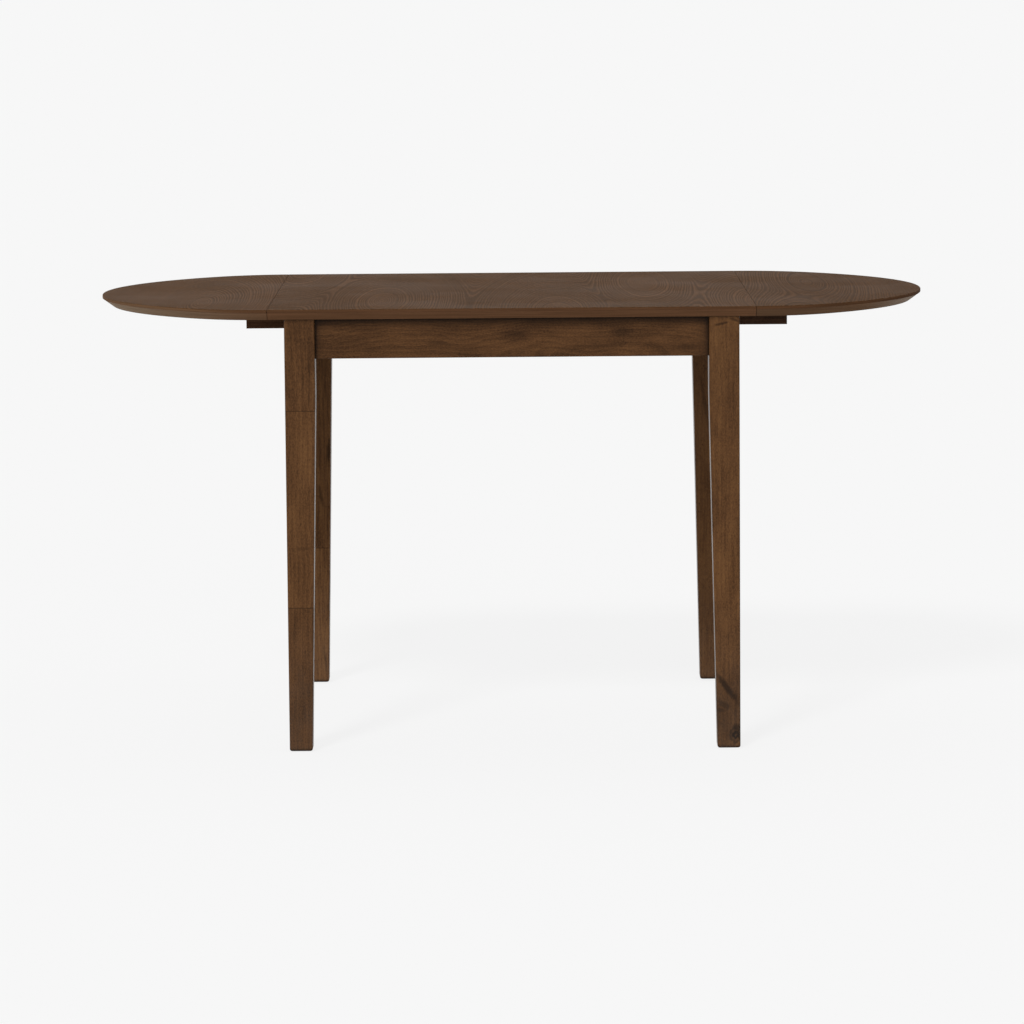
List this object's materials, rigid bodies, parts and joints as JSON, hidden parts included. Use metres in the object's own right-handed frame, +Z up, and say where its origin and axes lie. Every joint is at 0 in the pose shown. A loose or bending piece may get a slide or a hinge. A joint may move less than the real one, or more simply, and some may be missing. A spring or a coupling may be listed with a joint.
{
  "type": "drop-leaf folding table",
  "caption": "Oblong wooden dining table with rounded drop leaves that fold down at both ends, sliding support bars under the leaves, and square tapered legs.",
  "frame": {"origin": "on the floor, below the middle of the centre top", "axes": "+X along the length of the open table towards its right leaf, +Y towards its back, +Z up"},
  "size_m": [1.3998, 0.8, 0.735],
  "materials": {
    "veneered_panel": "satin walnut stain",
    "stained_hardwood": "satin walnut stain",
    "channel_hardwood": "matt walnut stain",
    "plain_beech": "bare wood",
    "hinge_brass": "satin",
    "zinc_steel": "zinc plated",
    "glide_nylon": "matt"
  },
  "bodies": {
    "table_frame": {"apron_dowels": "plain_beech", "back_apron": "stained_hardwood", "back_guide_rail": "channel_hardwood", "back_left_corner_bracket": "zinc_steel", "back_left_leg": "stained_hardwood", "back_right_corner_bracket": "zinc_steel", "back_right_leg": "stained_hardwood", "bolt_nuts": "zinc_steel", "bolt_washers": "zinc_steel", "centre_top": "veneered_panel", "corner_bracket_screws": "zinc_steel", "foot_glides": "glide_nylon", "front_apron": "stained_hardwood", "front_guide_rail": "channel_hardwood", "front_left_corner_bracket": "zinc_steel", "front_left_leg": "stained_hardwood", "front_right_corner_bracket": "zinc_steel", "front_right_leg": "stained_hardwood", "guide_rail_screws": "zinc_steel", "hinge_frame_screws": "hinge_brass", "keeper_bridge_screws": "zinc_steel", "left_back_hinge_frame_plate": "hinge_brass", "left_back_hinge_pin": "hinge_brass", "left_end_apron": "stained_hardwood", "left_front_hinge_frame_plate": "hinge_brass", "left_front_hinge_pin": "hinge_brass", "left_keeper_bridge": "channel_hardwood", "leg_bolts": "zinc_steel", "right_back_hinge_frame_plate": "hinge_brass", "right_back_hinge_pin": "hinge_brass", "right_end_apron": "stained_hardwood", "right_front_hinge_frame_plate": "hinge_brass", "right_front_hinge_pin": "hinge_brass", "right_keeper_bridge": "channel_hardwood", "stop_block": "channel_hardwood", "stop_block_screws": "zinc_steel", "top_bracket_screws": "zinc_steel", "top_brackets": "zinc_steel"},
    "left_leaf_body": {"left_back_hinge_leaf_plate": "hinge_brass", "left_front_hinge_leaf_plate": "hinge_brass", "left_hinge_leaf_screws": "hinge_brass", "left_leaf": "veneered_panel"},
    "right_leaf_body": {"right_back_hinge_leaf_plate": "hinge_brass", "right_front_hinge_leaf_plate": "hinge_brass", "right_hinge_leaf_screws": "hinge_brass", "right_leaf": "veneered_panel"},
    "left_loper_body": {"left_loper": "channel_hardwood", "left_stop_peg": "channel_hardwood"},
    "right_loper_body": {"right_loper": "channel_hardwood", "right_stop_peg": "channel_hardwood"}
  },
  "joints": [
    {"name": "left_leaf_drop", "type": "hinge", "parent": "table_frame", "child": "left_leaf_body", "pos_m": [-0.4, 0, 0.7133], "axis": [0, -1, 0], "range_deg": [0, 90]},
    {"name": "right_leaf_drop", "type": "hinge", "parent": "table_frame", "child": "right_leaf_body", "pos_m": [0.4, 0, 0.7133], "axis": [0, 1, 0], "range_deg": [0, 90]},
    {"name": "left_loper_slide", "type": "slide", "parent": "table_frame", "child": "left_loper_body", "axis": [1, 0, 0], "range_m": [0, 0.1044]},
    {"name": "right_loper_slide", "type": "slide", "parent": "table_frame", "child": "right_loper_body", "axis": [-1, 0, 0], "range_m": [0, 0.1215]}
  ],
  "couplings": [
    {"joint": "left_loper_slide", "follows": "left_leaf_drop", "m_per_rad": 0.066463},
    {"joint": "right_loper_slide", "follows": "right_leaf_drop", "m_per_rad": 0.077349}
  ]
}
